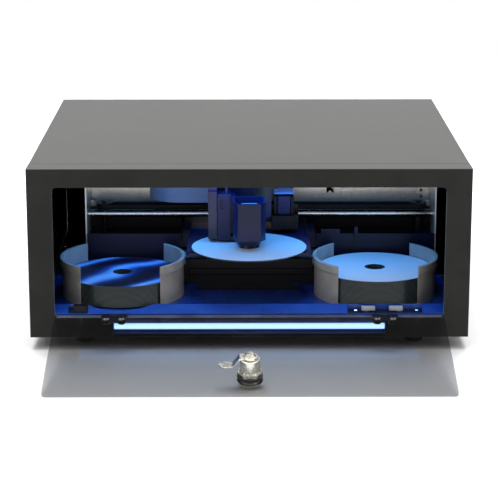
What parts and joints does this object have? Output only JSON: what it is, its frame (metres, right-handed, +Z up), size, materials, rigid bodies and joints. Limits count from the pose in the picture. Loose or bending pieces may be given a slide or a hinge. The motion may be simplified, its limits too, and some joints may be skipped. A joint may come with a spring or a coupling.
{
  "type": "disc label printer",
  "caption": "Desktop disc label printer: steel cabinet with a smoked drop-down door, two round disc bins, a picker, a print tray, an optical drive and an ink-jet carriage.",
  "frame": {"origin": "centre of the bounding box, with the door open as at rest, on the surface it stands on", "axes": "+Z up, +Y from the door to the rear panel, +X to the right seen from the front"},
  "size_m": [0.4396, 0.546, 0.184],
  "materials": {
    "cabinet_paint": "powder coat",
    "galvanised_steel": "rolled",
    "smoked_acrylic": "gloss",
    "nickel": "polished",
    "black_plastic": "matt",
    "grey_plastic": "satin",
    "blue_black_plastic": "satin",
    "disc_white": "satin",
    "disc_edge": "gloss",
    "rubber": "matt",
    "board_green": "satin",
    "light_white": "glowing",
    "button_grey": "satin",
    "cable_grey": "satin"
  },
  "bodies": {
    "cabinet": {"front_fascia": "cabinet_paint", "top_cover": "cabinet_paint", "base_chassis": "galvanised_steel", "cover_screws": "nickel", "feet": "rubber", "rear_panel": "galvanised_steel", "fan_housing": "black_plastic", "fan_guard": "black_plastic", "power_inlet": "black_plastic", "rocker_housing": "black_plastic", "power_supply": "galvanised_steel", "main_board": "board_green", "inner_floor": "blue_black_plastic", "control_strip": "black_plastic", "button_board": "board_green", "door_sensor": "black_plastic", "light_channel": "black_plastic", "light_tube": "light_white", "upper_light": "light_white", "upper_light_holder": "galvanised_steel", "hinge_brackets": "galvanised_steel", "left_bin": "grey_plastic", "right_bin": "grey_plastic", "left_disc_stack": "disc_edge", "right_disc_stack": "disc_edge", "tray_rails": "black_plastic", "lower_panel": "blue_black_plastic", "frame_deck": "galvanised_steel", "frame_side_plates": "galvanised_steel", "frame_back_plate": "galvanised_steel", "carriage_shroud": "black_plastic", "guide_rod": "nickel", "carriage_belt": "rubber", "belt_motor": "galvanised_steel", "ribbon_cable": "cable_grey", "optical_drive": "black_plastic"},
    "door": {"door_panel": "smoked_acrylic", "hinge_leaves": "galvanised_steel", "hinge_screws": "nickel", "lock_barrel": "nickel", "lock_gasket": "rubber", "lock_nut": "nickel"},
    "lock_cam": {"lock_cam": "nickel"},
    "carriage": {"picker_bracket": "blue_black_plastic", "print_carriage": "black_plastic", "cartridge": "blue_black_plastic"},
    "picker_head": {"picker_head": "blue_black_plastic"},
    "gripper_jaw": {"gripper_jaw": "nickel"},
    "cartridge_latch": {"cartridge_latch": "blue_black_plastic"},
    "print_tray": {"print_tray": "black_plastic", "tray_disc": "disc_white"},
    "tray_roller": {"tray_roller": "rubber"},
    "drive_pulley": {"drive_pulley": "black_plastic"},
    "idler_pulley": {"idler_pulley": "black_plastic"},
    "drive_tray": {"drive_tray": "black_plastic"},
    "eject_button": {"eject_button": "black_plastic"},
    "left_button": {"left_button": "button_grey"},
    "right_button": {"right_button": "button_grey"},
    "fan_rotor": {"fan_rotor": "black_plastic"},
    "rocker_button": {"rocker_button": "black_plastic"}
  },
  "joints": [
    {"name": "door_hinge", "type": "hinge", "parent": "cabinet", "child": "door", "pos_m": [0, -0.12859, 0.0357], "axis": [-1, 0, 0], "range_deg": [0, 103.06]},
    {"name": "lock_turn", "type": "hinge", "parent": "door", "child": "lock_cam", "pos_m": [0, -0.24281, 0.01033], "axis": [0, -0.226, 0.9741], "range_deg": [0, 90]},
    {"name": "carriage_slide", "type": "slide", "parent": "cabinet", "child": "carriage", "axis": [1, 0, 0], "range_m": [-0.12965, 0.12965], "deforming": ["ribbon_cable"]},
    {"name": "picker_lift", "type": "slide", "parent": "carriage", "child": "picker_head", "axis": [0, 0, 1], "range_m": [0, 0.012]},
    {"name": "gripper_open", "type": "slide", "parent": "picker_head", "child": "gripper_jaw", "axis": [1, 0, 0], "range_m": [0, 0.0008], "stiffness_N_per_m": 200},
    {"name": "cartridge_latch_hinge", "type": "hinge", "parent": "carriage", "child": "cartridge_latch", "pos_m": [0.0385, 0.05351, 0.1246], "axis": [-1, 0, 0], "range_deg": [0, 75]},
    {"name": "print_tray_slide", "type": "slide", "parent": "cabinet", "child": "print_tray", "axis": [0, 1, 0], "range_m": [0, 0.1]},
    {"name": "tray_roller_turn", "type": "hinge", "parent": "cabinet", "child": "tray_roller", "pos_m": [0, 0.04301, 0.0732], "axis": [-1, 0, 0], "range_deg": [0, 960]},
    {"name": "drive_pulley_turn", "type": "hinge", "parent": "cabinet", "child": "drive_pulley", "pos_m": [-0.156, 0.06501, 0.1026], "axis": [0, 0, 1], "range_deg": [-945, 945]},
    {"name": "idler_pulley_turn", "type": "hinge", "parent": "cabinet", "child": "idler_pulley", "pos_m": [0.184, 0.06501, 0.1026], "axis": [0, 0, 1], "range_deg": [-945, 945]},
    {"name": "drive_tray_slide", "type": "slide", "parent": "cabinet", "child": "drive_tray", "axis": [0, 1, 0], "range_m": [-0.125, 0]},
    {"name": "eject_press", "type": "slide", "parent": "cabinet", "child": "eject_button", "axis": [0, 1, 0], "range_m": [0, 0.0006], "stiffness_N_per_m": 300},
    {"name": "left_button_press", "type": "slide", "parent": "cabinet", "child": "left_button", "axis": [0, 0, -1], "range_m": [0, 0.0008], "stiffness_N_per_m": 500},
    {"name": "right_button_press", "type": "slide", "parent": "cabinet", "child": "right_button", "axis": [0, 0, -1], "range_m": [0, 0.0008], "stiffness_N_per_m": 500},
    {"name": "fan_spin", "type": "hinge", "parent": "cabinet", "child": "fan_rotor", "pos_m": [0.12, 0.26141, 0.1], "axis": [0, 1, 0], "continuous": true},
    {"name": "rocker_tip", "type": "hinge", "parent": "cabinet", "child": "rocker_button", "pos_m": [-0.112, 0.26851, 0.046], "axis": [0, 0, 1], "range_deg": [-16, 0]}
  ],
  "couplings": [
    {"joint": "tray_roller_turn", "follows": "print_tray_slide", "rad_per_m": 166.67},
    {"joint": "drive_pulley_turn", "follows": "carriage_slide", "rad_per_m": 126.58},
    {"joint": "idler_pulley_turn", "follows": "carriage_slide", "rad_per_m": 126.58}
  ]
}
